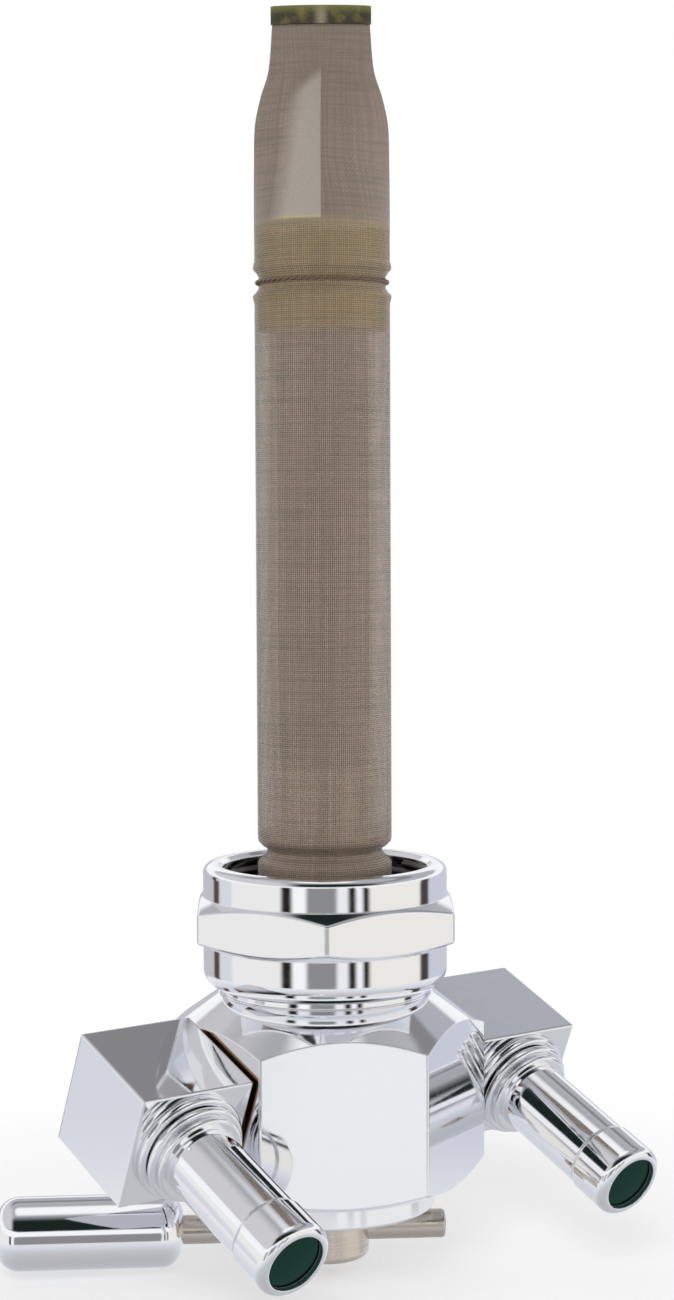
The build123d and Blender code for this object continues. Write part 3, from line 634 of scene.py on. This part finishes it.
def twisted_tie(material):
    """Two strands of soft wire twisted round each other in the groove near the top."""
    curve = bpy.data.curves.new("twisted_tie", "CURVE")
    curve.dimensions = "3D"
    curve.bevel_depth = TIE_STRAND
    curve.bevel_resolution = 2
    points = TIE_TWISTS * TIE_POINTS_PER_TWIST
    for strand in (0, pi):
        spline = curve.splines.new("POLY")
        spline.points.add(points - 1)
        for index, point in enumerate(spline.points):
            angle = 2 * pi * index / points
            twist = strand + TIE_TWISTS * angle
            radius = TIE_RADIUS + TIE_STRAND * cos(twist)
            height = TIE_HEIGHT + TIE_STRAND * sin(twist)
            point.co = (radius * cos(angle), radius * sin(angle), height, 1)
        spline.use_cyclic_u = True
    obj = piece("twisted_tie", curve, material, "tap")
    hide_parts("screen_tie_wire")


def nut_thread(material):
    """Internal thread that shows in the nut's mouth, as one spun ridge."""
    bm = bmesh.new()
    corners = (
        (THREAD_RADIUS, 0), (THREAD_RADIUS - THREAD_DEPTH, THREAD_PITCH / 2),
        (THREAD_RADIUS, THREAD_PITCH))
    start = THREAD_TOP - (THREAD_TURNS + 1) * THREAD_PITCH
    profile = [bm.verts.new((radius, 0, start + rise)) for radius, rise in corners]
    edges = [bm.edges.new(pair) for pair in zip(profile, profile[1:])]
    bmesh.ops.spin(
        bm, geom=profile + edges, axis=(0, 0, 1), cent=(0, 0, 0), angle=2 * pi * THREAD_TURNS,
        dvec=(0, 0, THREAD_PITCH / THREAD_STEPS), steps=THREAD_STEPS * THREAD_TURNS)
    piece("tank_thread", finished(bm, "tank_thread"), material, "nut")


def studio_camera():
    """The camera at the photograph's place and angle."""
    back = Vector((
        sin(CAMERA_AZIMUTH) * cos(CAMERA_ELEVATION),
        -cos(CAMERA_AZIMUTH) * cos(CAMERA_ELEVATION),
        sin(CAMERA_ELEVATION)))
    level = Vector((cos(CAMERA_AZIMUTH), sin(CAMERA_AZIMUTH), 0))
    upright = back.cross(level)
    right = level * cos(CAMERA_ROLL) + upright * sin(CAMERA_ROLL)
    up = upright * cos(CAMERA_ROLL) - level * sin(CAMERA_ROLL)
    turn = Matrix((right, up, back)).transposed().to_4x4()
    camera = bpy.data.objects.new("camera", bpy.data.cameras.new("camera"))
    camera.data.sensor_width = SENSOR
    camera.data.lens = SENSOR * FOCAL_PIXELS / IMAGE_HEIGHT
    camera.data.clip_start = CAMERA_NEAR
    camera.matrix_world = Matrix.Translation(CAMERA_PLACE) @ turn
    bpy.context.scene.collection.objects.link(camera)
    bpy.context.scene.camera = camera


def studio_world():
    """What the chrome mirrors: a white tent with dark slots between its cards, a pale floor, and
    a roof that is dark over the camera, grey towards the back and pale on the left. The camera
    itself sees plain white."""
    world = bpy.data.worlds.new("studio")
    bpy.context.scene.world = world
    world.use_nodes = True
    tree = world.node_tree
    direction = add(tree, "TexCoord")
    turned = add(tree, "VectorRotate", {"rotation_type": "Z_AXIS"}, {
        "Vector": direction.outputs["Generated"], "Angle": pi / 2 - CAMERA_AZIMUTH})
    split = add(tree, "SeparateXYZ", {}, {0: turned.outputs[0]})
    towards_camera, sideways, height = split.outputs
    bearing = add(tree, "Math", {"operation": "ARCTAN2"}, {0: sideways, 1: towards_camera})
    turn = add(tree, "MapRange", {}, {VALUE: bearing.outputs[0], START: -pi, END: pi})
    ends = [start for start, tone in STUDIO_CARDS[1:]] + [180]
    card_stops = [
        ((edge + 180) / 360, tone)
        for (start, tone), end in zip(STUDIO_CARDS, ends)
        for edge in (max(start + CARD_EDGE, -180), min(end - CARD_EDGE, 180))]
    cards = add(tree, "ValToRGB", {}, {0: turn.outputs[0]}, card_stops)
    rise = add(tree, "MapRange", {}, {VALUE: height, START: -1.0, END: 1.0})
    back, front = [
        add(tree, "ValToRGB", {}, {0: rise.outputs[0]}, [
            ((place + 1) / 2, tone) for place, tone in roof])
        for roof in (BACK_ROOF, FRONT_ROOF)]
    near, left, high, above_foot, above_walls = [
        add(tree, "MapRange", SMOOTH, {VALUE: value, START: start, END: end}).outputs[0]
        for value, (start, end) in (
            (towards_camera, FRONT_ROOF_BACK), (sideways, SIDE_ROOF_LEFT),
            (height, SIDE_ROOF_FOOT), (height, WALL_FOOT), (height, WALL_TOP))]
    beside = add(tree, "Math", {"operation": "MULTIPLY"}, {0: left, 1: high})
    roof = back.outputs[0]
    for share, tone in ((near, front.outputs[0]), (beside.outputs[0], linear(SIDE_ROOF_TONE))):
        roof = add(tree, "Mix", COLOURS, {
            FACTOR: share, COLOUR_A: roof, COLOUR_B: tone}).outputs[COLOUR]
    is_camera = add(tree, "LightPath").outputs["Is Camera Ray"]
    studio = roof
    for share, tone in (
            (above_foot, cards.outputs[0]), (above_walls, roof), (is_camera, linear("#FFFFFF"))):
        studio = add(tree, "Mix", COLOURS, {
            FACTOR: share, COLOUR_A: studio, COLOUR_B: tone}).outputs[COLOUR]
    plug(tree, tree.nodes["Background"], {"Color": studio})


def studio_floor():
    """A pale floor that takes the shadow and fades to the white of the background beyond it."""
    bm = bmesh.new()
    bmesh.ops.create_grid(bm, x_segments=1, y_segments=1, size=FLOOR_HALF_WIDTH)
    bmesh.ops.translate(bm, verts=bm.verts, vec=(0, 0, cad_box[0][2] - FLOOR_GAP))
    floor = bpy.data.objects.new("floor", finished(bm, "floor"))
    bpy.context.scene.collection.objects.link(floor)
    material, tree, shader = new_material("pale_floor")
    plug(tree, shader, {"Base Color": linear("#FAFAFA"), "Roughness": 0.8})
    place = add(tree, "TexCoord")
    distance = add(tree, "VectorMath", {"operation": "LENGTH"}, {0: place.outputs["Object"]})
    far = add(tree, "MapRange", SMOOTH, {
        VALUE: distance.outputs["Value"], START: FLOOR_FADE[0], END: FLOOR_FADE[1],
        LOW: 0.5, HIGH: 1.0})
    path = add(tree, "LightPath")
    white = add(tree, "Math", {"operation": "MULTIPLY"}, {
        0: far.outputs[0], 1: path.outputs["Is Camera Ray"]})
    glow = add(tree, "Emission", {}, {"Color": linear("#FFFFFF"), "Strength": 1.0})
    mix = add(tree, "MixShader", {}, {
        0: white.outputs[0], 1: shader.outputs[0], 2: glow.outputs[0]})
    plug(tree, tree.nodes["Material Output"], {"Surface": mix.outputs[0]})
    floor.data.materials.append(material)
    floor.visible_glossy = False


def soft_lamp(name, place, size, power):
    """A square soft box that points at the middle of the tap and doesn't show in the chrome."""
    lamp = bpy.data.objects.new(name, bpy.data.lights.new(name, "AREA"))
    lamp.data.size = size
    lamp.data.energy = power
    lamp.location = place
    lamp.rotation_euler = (LAMP_TARGET - lamp.location).to_track_quat("-Z", "Y").to_euler()
    lamp.visible_glossy = False
    bpy.context.scene.collection.objects.link(lamp)


def dress(names, material):
    """Give CAD nodes their finish."""
    for name in names:
        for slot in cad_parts[name].material_slots:
            slot.material = material


# Finishes of the solids
dress(("valve_body", "union_nut", "bottom_cap", "lever_knob"), chrome_plate())
dress(("left_outlet_block", "right_outlet_block"), block_plate())
for side in ("left", "right"):
    dress((f"{side}_hose_spigot",), spigot_plate(side))
dress(("valve_rotor",), turned_steel("turned_stem_steel", "#D8CEC2", 0.26))
dress(("lever_rod",), turned_steel(
    "drawn_rod_steel", "#CFC5BA", 0.24, line=1.5 * MM, stretch=(1, 1, 1), depth=0.008 * MM))
dress(("lever_set_screw",), turned_steel("blackened_steel", "#3A3A3C", 0.35))
dress(
    ("thrust_washer", "detent_ball", "detent_spring"),
    turned_steel("ground_spring_steel", "#B6B5B2", 0.2))
dress(
    ("left_outlet_stub", "right_outlet_stub", "top_bushing"),
    dull_brass("turned_brass", "#B8923C", 0.3))
dress(("base_bushing",), dull_brass("polished_brass", "#DCCBA8", 0.08))
# The standpipe is given a dark brown, so that it shows as a dark band behind the cloth
dress(("main_standpipe",), dull_brass("dark_standpipe_brass", "#6E5F48", 0.45))
dress(("left_outlet_washer", "right_outlet_washer"), pressed_fibre())
dress(("tank_gasket", "port_seal", "rotor_o_ring", "stem_o_ring"), moulded_rubber())
dress(("screen_end_seal",), sealing_resin())

# Pieces that are finer than the solids
filter_cloth(wire_cloth())
twisted_tie(binding_wire())
nut_thread(dull_brass("unplated_thread", "#5E5A58", 0.4))

# Studio
bpy.context.scene.view_settings.view_transform = "Standard"
studio_camera()
studio_world()
studio_floor()
soft_lamp("key_lamp", place=(-0.5, -0.5, 0.45), size=0.4, power=4.0)
soft_lamp("fill_lamp", place=(0.55, -0.35, 0.25), size=0.5, power=2.0)
